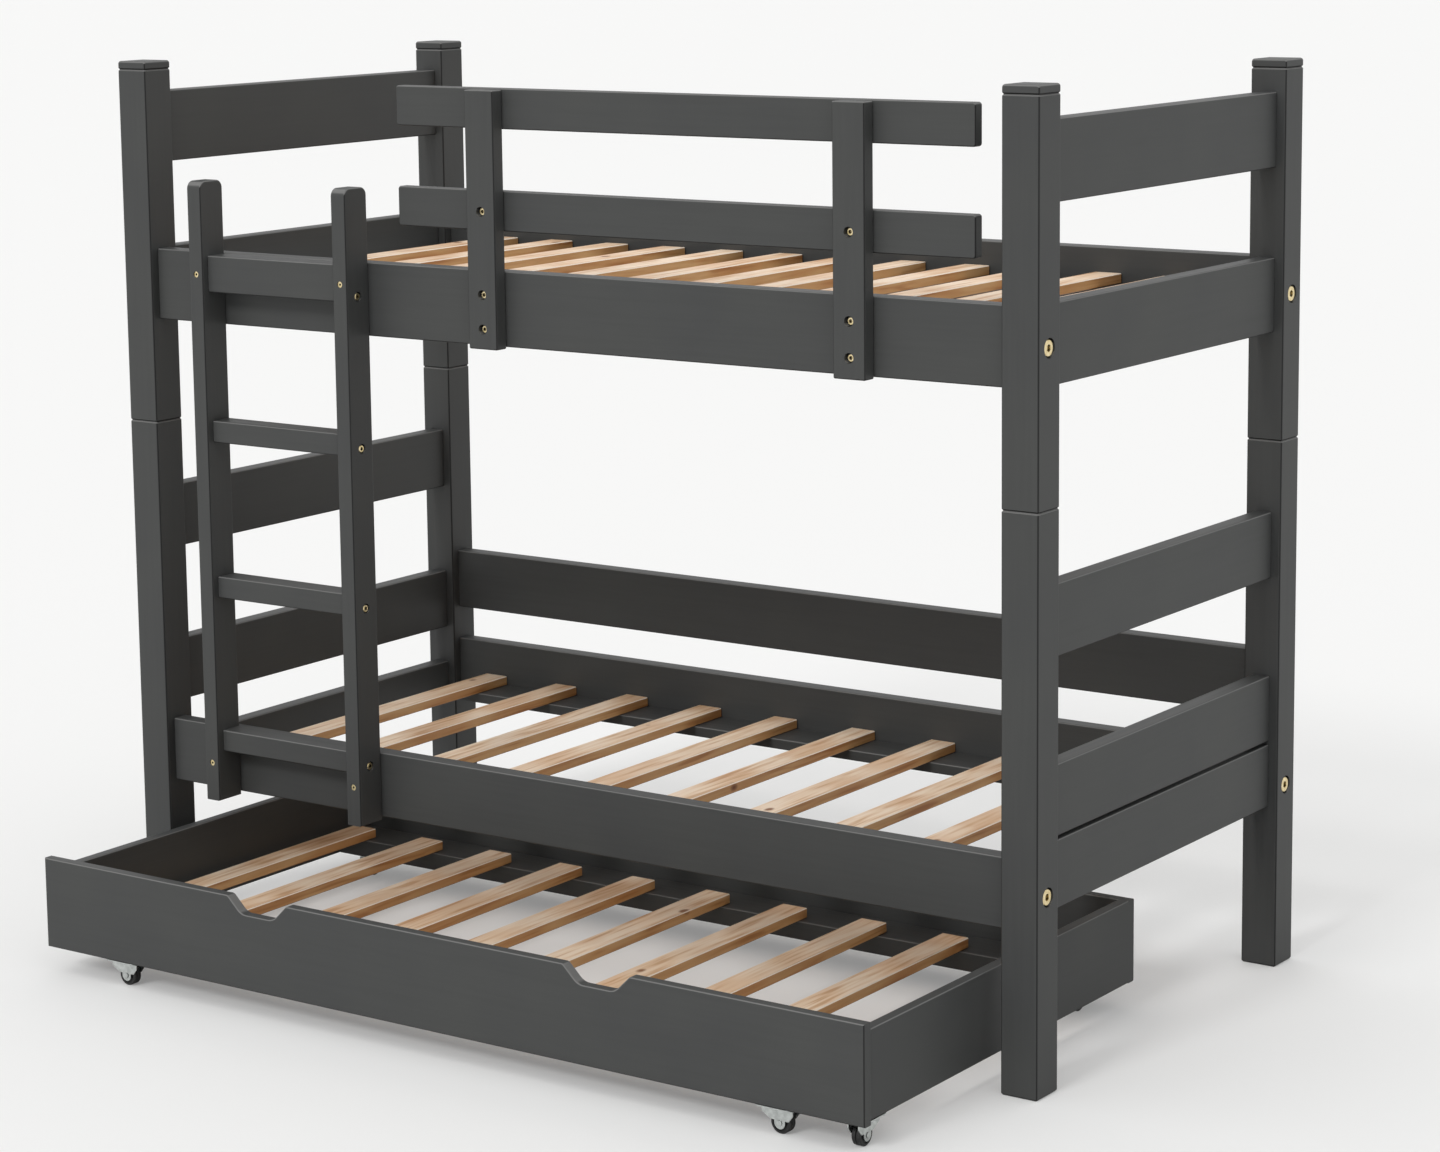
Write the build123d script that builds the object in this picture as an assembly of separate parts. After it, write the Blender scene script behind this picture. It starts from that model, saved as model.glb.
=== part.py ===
from build123d import *
import math
import os

# A three-place bunk bed of solid softwood: two beds one above the other, a guard and a ladder
# on the front, and a low drawer bed on swivel casters that rolls in between the posts.
# Millimetres, +Z up, +X to the right along the bed, +Y away from the ladder side.
# The origin is on the floor, under the middle of the bed with its drawer partly pulled out.

# Bed frame, overall
bed_length = 1900.0
bed_width = 900.0
board_thickness = 32.0
upper_board_height = 128.0
lower_board_height = 116.0
narrow_board_height = 68.0
board_edge_radius = 3.0
board_end_chamfer = 1.5

# Posts, each in two lengths with a cap
post_size = 66.0
post_edge_radius = 3.5
post_joint_height = 932.0
upper_post_length = 636.0
post_end_chamfer = 2.5
post_foot_chamfer = 3.0
cap_height = 15.0
cap_edge_radius = 4.5
pin_diameter = 12.0
pin_length = 80.0
cap_peg_length = 24.0
pin_clearance = 0.1
pin_end_room = 1.0

# Heights of board tops: the lower rails above the floor, the rest above or below what they follow
lower_rail_top = 380.0
middle_headboard_rise = 140.0
safety_board_rise = 180.0
left_end_rail_drop = 47.0
right_end_rail_gap = 6.0
right_end_rail_height = 111.0
lower_headboard_drop = 124.0
upper_rail_rise = 315.0
upper_headboard_drop = 40.0

# Tenons of the end boards and dowels of the side boards
tenon_length = 24.0
tenon_shoulder = 7.0
tenon_clearance = 0.15
tenon_end_room = 1.0
dowel_diameter = 10.0
dowel_length = 50.0
dowel_spacing = 70.0
dowel_clearance = 0.1
dowel_end_room = 1.0

# Frame bolts and the barrel nuts in the side rails
frame_head_diameter = 27.0
frame_head_height = 5.0
frame_recess_diameter = 32.0
frame_recess_depth = 6.5
frame_shank_diameter = 8.0
frame_hole_clearance = 0.5
frame_socket_size = 11.0
frame_socket_depth = 3.5
frame_nut_diameter = 14.0
frame_nut_length = 24.0
frame_nut_inset = 45.0
bolt_end_length = 10.0
bolt_end_room = 1.0
nut_clearance = 0.15

# Slats and the ledge boards that carry them
slat_width = 52.0
slat_thickness = 18.0
slat_chamfer = 1.5
slat_end_gap = 2.0
upper_slat_count = 12
lower_slat_count = 10
upper_slat_end_gap = 137.0
lower_slat_end_gap = 86.0
upper_slat_drop = 44.0
lower_slat_drop = 66.0
ledge_width = 90.0
ledge_thickness = 20.0
ledge_setback = 60.0

# Guard on the front of the upper bed
guard_entry_width = 568.0
guard_right_gap = 55.0
guard_board_thickness = 21.0
guard_rise = 306.0
guard_board_gap = 103.0
guard_corner_radius = 5.0
upright_width = 60.0
upright_thickness = 27.0
left_upright_inset = 200.0
right_upright_inset = 214.0
upright_top_setback = 2.0
upright_bottom_drop = 3.0
guard_bolt_spacing = 58.0
guard_bolt_drop = 4.0

# Bolts, sleeve nuts and screws of the guard and the ladder
small_head_diameter = 13.0
small_head_height = 4.0
small_recess_diameter = 17.0
ladder_recess_depth = 5.0
guard_recess_depth = 10.0
small_shank_diameter = 6.0
small_hole_clearance = 0.3
small_socket_size = 6.0
small_socket_depth = 3.0
sleeve_diameter = 9.0
sleeve_length = 12.0
sleeve_flange_diameter = 15.0
sleeve_flange_height = 2.0
ladder_nut_diameter = 10.0
ladder_nut_length = 16.0
ladder_nut_inset = 30.0
screw_head_diameter = 11.0
screw_head_height = 3.5
screw_socket_size = 4.0
screw_socket_depth = 2.0
screw_shank_diameter = 5.0
screw_recess_depth = 1.5
screw_bite = 20.0
screw_clearance = 0.1

# Ladder, screwed to the front rails
ladder_offset = 131.0
stile_thickness = 32.0
stile_depth = 58.0
stile_rise = 131.0
stile_bottom_drop = 6.0
stile_top_radius = 14.0
rung_length = 302.0
rung_setback = 13.0
rung_height = 39.0
top_rung_height = 65.0
top_rung_drop = 1.0
low_rung_rise = 7.0
low_rung_count = 3
top_rung_bolt_drop = 23.0
rung_bolt_drop = 6.0
upper_screw_rise = 30.0
lower_screw_rise = 5.0

# Drawer bed
drawer_length = 1710.0
drawer_depth = 860.0
drawer_reach = 350.0
drawer_front_height = 161.0
drawer_side_drop = 17.0
drawer_board_thickness = 20.0
drawer_side_inset = 10.0
drawer_housing_depth = 8.0
drawer_housing_clearance = 0.15
drawer_ledge_width = 90.0
drawer_ledge_height = 34.0
drawer_slat_count = 10
drawer_slat_left_gap = 18.0
drawer_slat_right_gap = 88.0
drawer_slat_setback = 65.0
notch_width = 131.0
notch_depth = 29.0
notch_lip_radius = 9.0
notch_slope = 30.0
notch_corner_radius = 26.0
notch_offset = 356.0
notch_edge_radius = 3.0
drawer_screw_spacing = 90.0

# Swivel casters of the drawer bed
wheel_diameter = 36.0
wheel_width = 16.0
wheel_shoulder = 1.4
wheel_groove_width = 2.4
wheel_groove_depth = 2.0
wheel_web_recess = 2.0
wheel_rim_thickness = 4.5
hub_diameter = 12.0
wheel_side_gap = 0.6
axle_diameter = 5.0
axle_clearance = 0.05
axle_head_diameter = 8.5
axle_head_height = 1.4
fork_sheet = 1.8
fork_head_room = 1.9
fork_top_half_length = 28.5
fork_skirt_height = 8.0
fork_shoulder_half_length = 16.5
fork_shoulder_rise = 4.0
fork_boss_radius = 9.8
fork_bend_radius = 1.2
fork_race_radius = 13.0
caster_trail = 9.0
swivel_gap = 0.3
race_height = 2.0
race_radius = 9.0
kingpin_diameter = 6.0
kingpin_clearance = 0.05
kingpin_head_diameter = 10.0
kingpin_head_height = 1.5
plate_thickness = 2.0
plate_length = 60.0
plate_width = 42.0
plate_corner_radius = 5.0
plate_screw_spacing_x = 48.0
plate_screw_spacing_y = 30.0
plate_screw_head_diameter = 7.0
plate_screw_head_height = 1.8
plate_screw_shank_diameter = 3.6
plate_screw_length = 16.0
front_caster_inset = 170.0
front_caster_setback = 22.0
rear_caster_inset = 70.0

cut_overrun = 5.0
quarter_turn = 90.0
half_turn = 180.0
hexagon_sides = 6
head_bevel_share = 0.25
board_screw_share = 0.25
upright_bite_share = 0.75

# Places worked out from the sizes above
frame_middle_y = drawer_reach / 2
frame_front_y = frame_middle_y - bed_width / 2
post_x = (bed_length - post_size) / 2
post_y = (bed_width - post_size) / 2
rail_length = bed_length - 2 * post_size
end_board_length = bed_width - 2 * post_size
board_inner_x = post_x - board_thickness / 2
board_inner_y = post_y - board_thickness / 2
rail_front_y = frame_middle_y - post_y - board_thickness / 2
post_top = post_joint_height + upper_post_length
middle_headboard_top = lower_rail_top + middle_headboard_rise
safety_board_top = lower_rail_top + safety_board_rise
left_end_rail_top = lower_rail_top - left_end_rail_drop
right_end_rail_top = middle_headboard_top - lower_board_height - right_end_rail_gap
lower_headboard_top = post_joint_height - lower_headboard_drop
upper_rail_top = post_joint_height + upper_rail_rise
upper_headboard_top = post_top - upper_headboard_drop
guard_top = upper_rail_top + guard_rise
left_post_inner_x = -bed_length / 2 + post_size
right_post_inner_x = bed_length / 2 - post_size
upper_rail_middle = upper_rail_top - upper_board_height / 2
lower_rail_middle = lower_rail_top - lower_board_height / 2

corners = {
    "front_left": (-1, -1),
    "front_right": (1, -1),
    "rear_left": (-1, 1),
    "rear_right": (1, 1),
}


# Board stock

def bar_x(length, depth, height, radius):
    """A bar along X with eased long edges, centred."""
    section = Plane.YZ * RectangleRounded(depth, height, radius)
    return extrude(section, amount=length / 2, both=True)


def bar_y(length, width, height, radius):
    """A bar along Y with eased long edges, centred."""
    section = Plane.XZ * RectangleRounded(width, height, radius)
    return extrude(section, amount=length / 2, both=True)


def bar_z(length, width, depth, radius):
    """A bar standing along Z with eased edges, its foot at height zero."""
    return extrude(RectangleRounded(width, depth, radius), amount=length)


def rod_x(diameter, length):
    return Rot(0, quarter_turn, 0) * Cylinder(diameter / 2, length)


def rod_y(diameter, length):
    return Rot(quarter_turn, 0, 0) * Cylinder(diameter / 2, length)


def rod_z(diameter, length):
    return Cylinder(diameter / 2, length)


def end_face_edges(solid, axis, last):
    """Edges of the face that lies farthest along an axis, at its far or near end."""
    faces = solid.faces().sort_by(axis)
    return faces[-1 if last else 0].edges()


def ease_ends(bar, axis):
    """A bar with the edges round both of its ends eased."""
    return chamfer(end_face_edges(bar, axis, True) + end_face_edges(bar, axis, False), board_end_chamfer)


# Posts

def end_board_levels(side_x, upper):
    """Middle heights and board heights of the end boards that one post length carries."""
    if upper:
        tops = [(upper_headboard_top, upper_board_height), (upper_rail_top, upper_board_height)]
    else:
        tops = [(lower_headboard_top, lower_board_height), (middle_headboard_top, lower_board_height)]
        if side_x < 0:
            tops.append((left_end_rail_top, narrow_board_height))
        else:
            tops.append((right_end_rail_top, right_end_rail_height))
    return [(top - height / 2, height) for top, height in tops]


def mortise(side_y, height):
    """Cutter for one tenon, its mouth on the inner Y face of a post at the origin."""
    width = board_thickness - 2 * tenon_shoulder + 2 * tenon_clearance
    tall = height - 2 * tenon_shoulder + 2 * tenon_clearance
    deep = tenon_length + tenon_end_room
    cutter = Box(width, deep + cut_overrun, tall)
    return Pos(0, -side_y * (post_size / 2 - deep / 2 + cut_overrun / 2), 0) * cutter


def bolt_passage(side_x):
    """Cutter for a frame bolt through a post, with the recess for its head on the outer face."""
    hole = rod_x(frame_shank_diameter + 2 * frame_hole_clearance, post_size + 2 * cut_overrun)
    deep = frame_recess_depth + cut_overrun
    recess = rod_x(frame_recess_diameter, deep)
    return hole + Pos(side_x * (post_size / 2 - frame_recess_depth + deep / 2), 0, 0) * recess


def dowel_socket(side_x):
    """Cutter for half a dowel in the inner X face of a post."""
    deep = dowel_length / 2 + dowel_end_room + cut_overrun
    socket = rod_x(dowel_diameter + 2 * dowel_clearance, deep)
    return Pos(-side_x * (post_size / 2 + cut_overrun - deep / 2), 0, 0) * socket


def dowel_heights(middle):
    return [middle - dowel_spacing / 2, middle + dowel_spacing / 2]


def pin_hole(depth):
    deep = depth + pin_end_room + cut_overrun
    return Pos(0, 0, deep / 2 - cut_overrun) * rod_z(pin_diameter + 2 * pin_clearance, deep)


def post_blank(length, foot):
    blank = bar_z(length, post_size, post_size, post_edge_radius)
    blank = chamfer(end_face_edges(blank, Axis.Z, True), post_end_chamfer)
    return chamfer(end_face_edges(blank, Axis.Z, False), foot)


def lower_post(side_x, side_y):
    post = post_blank(post_joint_height, post_foot_chamfer)
    for middle, height in end_board_levels(side_x, False):
        post -= Pos(0, 0, middle) * mortise(side_y, height)
    post -= Pos(0, 0, lower_rail_middle) * bolt_passage(side_x)
    levels = dowel_heights(lower_rail_middle)
    if side_y > 0:
        levels += safety_dowel_heights()
    for level in levels:
        post -= Pos(0, 0, level) * dowel_socket(side_x)
    return post - Pos(0, 0, post_joint_height) * Rot(half_turn, 0, 0) * pin_hole(pin_length / 2)


def upper_post(side_x, side_y):
    post = Pos(0, 0, post_joint_height) * post_blank(upper_post_length, post_end_chamfer)
    for middle, height in end_board_levels(side_x, True):
        post -= Pos(0, 0, middle) * mortise(side_y, height)
    post -= Pos(0, 0, upper_rail_middle) * bolt_passage(side_x)
    for level in dowel_heights(upper_rail_middle):
        post -= Pos(0, 0, level) * dowel_socket(side_x)
    post -= Pos(0, 0, post_joint_height) * pin_hole(pin_length / 2)
    return post - Pos(0, 0, post_top) * Rot(half_turn, 0, 0) * pin_hole(cap_peg_length)


def post_cap():
    """A cap block with eased edges on a turned peg."""
    cap = bar_z(cap_height, post_size, post_size, post_edge_radius)
    cap = chamfer(end_face_edges(cap, Axis.Z, False), post_end_chamfer)
    cap = fillet(end_face_edges(cap, Axis.Z, True), cap_edge_radius)
    peg = Pos(0, 0, -cap_peg_length / 2) * rod_z(pin_diameter, cap_peg_length)
    return Pos(0, 0, post_top) * (cap + peg)


# Boards of the ends and sides

def end_board(side_x, top, height):
    """A board across the bed's end, its tenons in the posts."""
    board = ease_ends(bar_y(end_board_length, board_thickness, height, board_edge_radius), Axis.Y)
    thick = board_thickness - 2 * tenon_shoulder
    board += Box(thick, end_board_length + 2 * tenon_length, height - 2 * tenon_shoulder)
    return Pos(side_x * post_x, frame_middle_y, top - height / 2) * board


def safety_dowel_heights():
    """Heights of the dowels that hold the rear safety board."""
    return dowel_heights(safety_board_top - lower_board_height / 2)


def end_sockets(board, levels):
    """Cuts the dowel sockets in both ends of a side board, levels taken from its middle."""
    deep = dowel_length / 2 + dowel_end_room + cut_overrun
    for side in (-1, 1):
        for level in levels:
            socket = rod_x(dowel_diameter + 2 * dowel_clearance, deep)
            board -= Pos(side * (rail_length / 2 + cut_overrun - deep / 2), 0, level) * socket
    return board


def side_rail(side_y, top, height):
    """A rail between two posts, bored at both ends for a bolt, its barrel nut and two dowels."""
    rail = ease_ends(bar_x(rail_length, board_thickness, height, board_edge_radius), Axis.X)
    rail = end_sockets(rail, [-dowel_spacing / 2, dowel_spacing / 2])
    bolt_deep = frame_nut_inset + bolt_end_length + bolt_end_room
    nut_deep = (board_thickness + frame_nut_length) / 2 + nut_clearance
    for side in (-1, 1):
        bore = rod_x(frame_shank_diameter + 2 * frame_hole_clearance, bolt_deep + cut_overrun)
        rail -= Pos(side * (rail_length / 2 - (bolt_deep - cut_overrun) / 2), 0, 0) * bore
        nut_hole = rod_y(frame_nut_diameter + 2 * nut_clearance, nut_deep + cut_overrun)
        nut_hole = Pos(0, (board_thickness - nut_deep + cut_overrun) / 2, 0) * nut_hole
        rail -= Pos(side * (rail_length / 2 - frame_nut_inset), 0, 0) * nut_hole
    return Pos(0, frame_middle_y + side_y * post_y, top - height / 2) * rail


def safety_board():
    board = ease_ends(bar_x(rail_length, board_thickness, lower_board_height, board_edge_radius), Axis.X)
    board = end_sockets(board, [-dowel_spacing / 2, dowel_spacing / 2])
    return Pos(0, frame_middle_y + post_y, safety_board_top - lower_board_height / 2) * board


def ledge(side_y, top):
    """A flat board fixed along a rail's inner face; the slats lie on it."""
    board = bar_x(rail_length - 2 * ledge_setback, ledge_width, ledge_thickness, board_edge_radius)
    inward = board_inner_y - ledge_width / 2
    return Pos(0, frame_middle_y + side_y * inward, top - ledge_thickness / 2) * board


# Slats

def slat(length):
    half_w = slat_width / 2
    half_t = slat_thickness / 2
    points = [
        (half_w, half_t - slat_chamfer),
        (half_w - slat_chamfer, half_t),
        (slat_chamfer - half_w, half_t),
        (-half_w, half_t - slat_chamfer),
        (-half_w, slat_chamfer - half_t),
        (slat_chamfer - half_w, -half_t),
        (half_w - slat_chamfer, -half_t),
        (half_w, slat_chamfer - half_t),
    ]
    section = Plane.XZ * make_face(Polyline(*points, close=True))
    return extrude(section, amount=length / 2, both=True)


def slat_row(count, inner_length, left_gap, right_gap, slat_length, middle_y, top):
    """A row of evenly spaced slats between two inner faces, with given gaps at its two ends."""
    first = -inner_length / 2 + left_gap + slat_width / 2
    pitch = (inner_length - left_gap - right_gap - slat_width) / (count - 1)
    height = top - slat_thickness / 2
    one = slat(slat_length)
    return [Pos(first + pitch * index, middle_y, height) * one for index in range(count)]


def bed_slats(count, end_gap, top):
    slat_length = 2 * (board_inner_y - slat_end_gap)
    return slat_row(count, 2 * board_inner_x, end_gap, end_gap, slat_length, frame_middle_y, top)


# Fasteners

def hex_socket(size, depth):
    return extrude(RegularPolygon(size / 2, hexagon_sides, major_radius=False), amount=-depth)


def socket_bolt(head_diameter, head_height, shank_diameter, shank_length, socket_size, socket_depth):
    """A flat-head bolt along Z: the head's top at height zero, the shank below it."""
    rim = head_height * head_bevel_share
    half = head_diameter / 2
    outline = Polyline((0, 0), (half - rim, 0), (half, -rim), (half, -head_height),
                       (shank_diameter / 2, -head_height),
                       (shank_diameter / 2, -head_height - shank_length),
                       (0, -head_height - shank_length), close=True)
    bolt = revolve(Plane.XZ * make_face(outline), Axis.Z)
    return bolt - hex_socket(socket_size, socket_depth)


def countersunk_screw(length):
    """A countersunk wood screw along Z: its head's top at height zero."""
    half = screw_head_diameter / 2
    shank = screw_shank_diameter / 2
    outline = Polyline((0, 0), (half, 0), (shank, -screw_head_height), (shank, shank - length),
                       (0, -length), close=True)
    screw = revolve(Plane.XZ * make_face(outline), Axis.Z)
    return screw - hex_socket(screw_socket_size, screw_socket_depth)


def screw_bore(length, recess_depth):
    """Cutter for a countersunk screw along Z, its head sunk below height zero."""
    half = screw_head_diameter / 2 + screw_clearance
    shank = screw_shank_diameter / 2 + screw_clearance
    sink = -recess_depth
    outline = Polyline((0, cut_overrun), (half, cut_overrun), (half, sink),
                       (shank, sink - screw_head_height), (shank, sink - length - screw_clearance),
                       (0, sink - length - screw_clearance), close=True)
    return revolve(Plane.XZ * make_face(outline), Axis.Z)


def to_front(y):
    """Turns a fastener along Z so that its head faces the front, on the plane at y."""
    return Pos(0, y, 0) * Rot(quarter_turn, 0, 0)


def to_side(side_x, x):
    """Turns a fastener along Z so that its head faces the bed's left or right, on the plane at x."""
    return Pos(x, 0, 0) * Rot(0, side_x * quarter_turn, 0)


def frame_bolt_places():
    places = []
    for side_x, side_y in corners.values():
        for level in (upper_rail_middle, lower_rail_middle):
            places.append((side_x, side_y, level))
    return places


def frame_bolts():
    sunk = frame_recess_depth - frame_head_height
    shank = post_size - frame_recess_depth + frame_nut_inset + bolt_end_length
    bolt = socket_bolt(frame_head_diameter, frame_head_height, frame_shank_diameter, shank,
                       frame_socket_size, frame_socket_depth)
    return [
        Pos(0, frame_middle_y + side_y * post_y, level)
        * to_side(side_x, side_x * (bed_length / 2 - sunk)) * bolt
        for side_x, side_y, level in frame_bolt_places()
    ]


def barrel_nut(diameter, length, bore):
    """A barrel nut along Z with its cross bore along X."""
    return rod_z(diameter, length) - rod_x(bore, diameter + 2 * cut_overrun)


def frame_nuts():
    nut = Rot(quarter_turn, 0, 0) * barrel_nut(frame_nut_diameter, frame_nut_length,
                                     frame_shank_diameter + 2 * nut_clearance)
    return [
        Pos(side_x * (rail_length / 2 - frame_nut_inset), frame_middle_y + side_y * post_y, level) * nut
        for side_x, side_y, level in frame_bolt_places()
    ]


def frame_dowels():
    dowel = rod_x(dowel_diameter, dowel_length)
    dowels = []
    for side_x, side_y in corners.values():
        levels = dowel_heights(upper_rail_middle) + dowel_heights(lower_rail_middle)
        if side_y > 0:
            levels += safety_dowel_heights()
        for level in levels:
            dowels.append(Pos(side_x * rail_length / 2, frame_middle_y + side_y * post_y, level) * dowel)
    return dowels


def post_pins():
    pin = rod_z(pin_diameter, pin_length)
    return [
        Pos(side_x * post_x, frame_middle_y + side_y * post_y, post_joint_height) * pin
        for side_x, side_y in corners.values()
    ]


# Guard

guard_left_x = left_post_inner_x + guard_entry_width
guard_right_x = right_post_inner_x - guard_right_gap
guard_board_back_y = rail_front_y + guard_board_thickness
upright_front_y = rail_front_y - upright_thickness
guard_lower_board_top = guard_top - narrow_board_height - guard_board_gap
upright_places = {
    "left": guard_left_x + left_upright_inset,
    "right": guard_right_x - right_upright_inset,
}


def guard_bolt_levels():
    """Heights of the three bolts of one upright, the first of them in the lower guard board."""
    board_level = guard_lower_board_top - narrow_board_height / 2
    middle = upper_rail_middle - guard_bolt_drop
    return [board_level, middle + guard_bolt_spacing / 2, middle - guard_bolt_spacing / 2]


def guard_board_screw_levels():
    middle = guard_top - narrow_board_height / 2
    offset = narrow_board_height * board_screw_share
    return [middle - offset, middle + offset]


def guard_board_screw_length():
    return guard_board_thickness - screw_recess_depth + upright_thickness * upright_bite_share


def small_bolt_bore(x, level, depth):
    """Cutter for one guard bolt from the front face of an upright to a depth behind it."""
    hole = rod_y(small_shank_diameter + 2 * small_hole_clearance, depth + 2 * cut_overrun)
    recess_deep = guard_recess_depth + cut_overrun
    recess = rod_y(small_recess_diameter, recess_deep)
    cutter = Pos(x, upright_front_y + depth / 2, level) * hole
    recess_y = upright_front_y + guard_recess_depth - recess_deep / 2
    return cutter + Pos(x, recess_y, level) * recess


def sleeve_bore(x, level, back_y):
    """Cutter for a sleeve nut let in from a board's back face."""
    deep = sleeve_length + sleeve_flange_height
    hole = rod_y(sleeve_diameter + 2 * small_hole_clearance, deep + cut_overrun)
    flange = rod_y(sleeve_flange_diameter + 2 * small_hole_clearance, sleeve_flange_height + cut_overrun)
    hole_y = back_y + (cut_overrun - deep) / 2
    flange_y = back_y + (cut_overrun - sleeve_flange_height) / 2
    return Pos(x, hole_y, level) * hole + Pos(x, flange_y, level) * flange


def guard_screw_bore(x, level):
    cutter = Rot(-quarter_turn, 0, 0) * screw_bore(guard_board_screw_length(), screw_recess_depth)
    return Pos(x, guard_board_back_y, level) * cutter


def guard_board(top):
    length = guard_right_x - guard_left_x
    blank = Box(length, guard_board_thickness, narrow_board_height)
    blank = fillet(blank.edges().filter_by(Axis.Y), guard_corner_radius)
    blank = fillet(blank.faces().filter_by(Axis.Y).edges(), board_edge_radius)
    middle_x = (guard_left_x + guard_right_x) / 2
    middle_y = rail_front_y + guard_board_thickness / 2
    return Pos(middle_x, middle_y, top - narrow_board_height / 2) * blank


def guard_top_board():
    board = guard_board(guard_top)
    for x in upright_places.values():
        for level in guard_board_screw_levels():
            board -= guard_screw_bore(x, level)
    return board


def guard_lower_board():
    board = guard_board(guard_lower_board_top)
    level = guard_bolt_levels()[0]
    for x in upright_places.values():
        board -= small_bolt_bore(x, level, upright_thickness + guard_board_thickness)
        board -= sleeve_bore(x, level, guard_board_back_y)
    return board


def guard_upright(x):
    bottom = upper_rail_top - upper_board_height - upright_bottom_drop
    top = guard_top - upright_top_setback
    bar = Box(upright_width, upright_thickness, top - bottom)
    bar = fillet(bar.edges().filter_by(Axis.Z) + end_face_edges(bar, Axis.Z, True)
                 + end_face_edges(bar, Axis.Z, False), board_edge_radius)
    bar = Pos(x, rail_front_y - upright_thickness / 2, (top + bottom) / 2) * bar
    for level in guard_bolt_levels():
        bar -= small_bolt_bore(x, level, upright_thickness)
    for level in guard_board_screw_levels():
        bar -= guard_screw_bore(x, level)
    return bar


def front_guard_cutters():
    """What the guard's bolts and sleeve nuts take out of the upper front rail."""
    cutters = []
    rail_back_y = rail_front_y + board_thickness
    for x in upright_places.values():
        for level in guard_bolt_levels()[1:]:
            cutters.append(small_bolt_bore(x, level, upright_thickness + board_thickness))
            cutters.append(sleeve_bore(x, level, rail_back_y))
    return cutters


def guard_bolt_set():
    """Six bolts, each with its sleeve nut, through the uprights into a board or the rail."""
    pieces = []
    head_y = upright_front_y + guard_recess_depth - small_head_height
    for x in upright_places.values():
        for index, level in enumerate(guard_bolt_levels()):
            backing = guard_board_thickness if index == 0 else board_thickness
            back_y = rail_front_y + backing
            shank = back_y - sleeve_flange_height - (head_y + small_head_height)
            bolt = socket_bolt(small_head_diameter, small_head_height, small_shank_diameter, shank,
                               small_socket_size, small_socket_depth)
            pieces.append(Pos(x, 0, level) * to_front(head_y) * bolt)
            pieces.append(Pos(x, back_y, level) * Rot(-quarter_turn, 0, 0) * sleeve_nut())
    return pieces


def sleeve_nut():
    """A flanged sleeve along Z, its flange's face at height zero and the sleeve below it."""
    flange = Pos(0, 0, -sleeve_flange_height / 2) * rod_z(sleeve_flange_diameter, sleeve_flange_height)
    deep = sleeve_length + sleeve_flange_height
    sleeve = Pos(0, 0, -deep / 2) * rod_z(sleeve_diameter, deep)
    bore = rod_z(small_shank_diameter + 2 * nut_clearance, deep)
    return flange + sleeve - Pos(0, 0, -deep / 2 - sleeve_flange_height) * bore


# Ladder

ladder_left_x = left_post_inner_x + ladder_offset
stile_places = {
    "left": ladder_left_x + stile_thickness / 2,
    "right": ladder_left_x + stile_thickness + rung_length + stile_thickness / 2,
}
stile_front_y = rail_front_y - stile_depth
stile_middle_y = rail_front_y - stile_depth / 2
stile_bottom = lower_rail_top - lower_board_height - stile_bottom_drop
ladder_middle_x = ladder_left_x + stile_thickness + rung_length / 2
rung_depth = stile_depth - rung_setback
stile_top = upper_rail_top + stile_rise
top_rung_middle = upper_rail_top - top_rung_drop - top_rung_height / 2
lowest_rung_middle = lower_rail_top + low_rung_rise - rung_height / 2
rung_pitch = (top_rung_middle - lowest_rung_middle) / low_rung_count


def rung_levels():
    """Middle height, board height and bolt drop of each rung, from the top one down."""
    levels = [(top_rung_middle, top_rung_height, top_rung_bolt_drop)]
    for index in range(low_rung_count):
        levels.append((top_rung_middle - rung_pitch * (index + 1), rung_height, rung_bolt_drop))
    return levels


def ladder_screw_levels():
    return [upper_rail_middle + upper_screw_rise, lower_rail_middle + lower_screw_rise]


def ladder_screw_length():
    return stile_depth - screw_recess_depth + screw_bite


def ladder_screw_bore(x, level):
    cutter = Rot(quarter_turn, 0, 0) * screw_bore(ladder_screw_length(), screw_recess_depth)
    return Pos(x, stile_front_y, level) * cutter


def ladder_bolt_bore(x, side_x, level):
    """Cutter for a rung bolt across a stile, with the recess for its head on the outer face."""
    hole = rod_x(small_shank_diameter + 2 * small_hole_clearance, stile_thickness + 2 * cut_overrun)
    deep = ladder_recess_depth + cut_overrun
    recess = rod_x(small_recess_diameter, deep)
    recess_x = x + side_x * (stile_thickness / 2 - ladder_recess_depth + deep / 2)
    return Pos(x, stile_middle_y, level) * hole + Pos(recess_x, stile_middle_y, level) * recess


def ladder_stile(x, side_x):
    """A stile, its top rounded in side view, screwed to both front rails from the front."""
    length = stile_top - stile_bottom
    bar = Box(stile_thickness, stile_depth, length)
    bar = fillet(end_face_edges(bar, Axis.Z, True).filter_by(Axis.X), stile_top_radius)
    bar = fillet(bar.faces().filter_by(Axis.X).edges(), board_edge_radius)
    bar = Pos(x, stile_middle_y, (stile_top + stile_bottom) / 2) * bar
    for middle, height, drop in rung_levels():
        bar -= ladder_bolt_bore(x, side_x, middle - drop)
    for level in ladder_screw_levels():
        bar -= ladder_screw_bore(x, level)
    return bar


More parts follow.
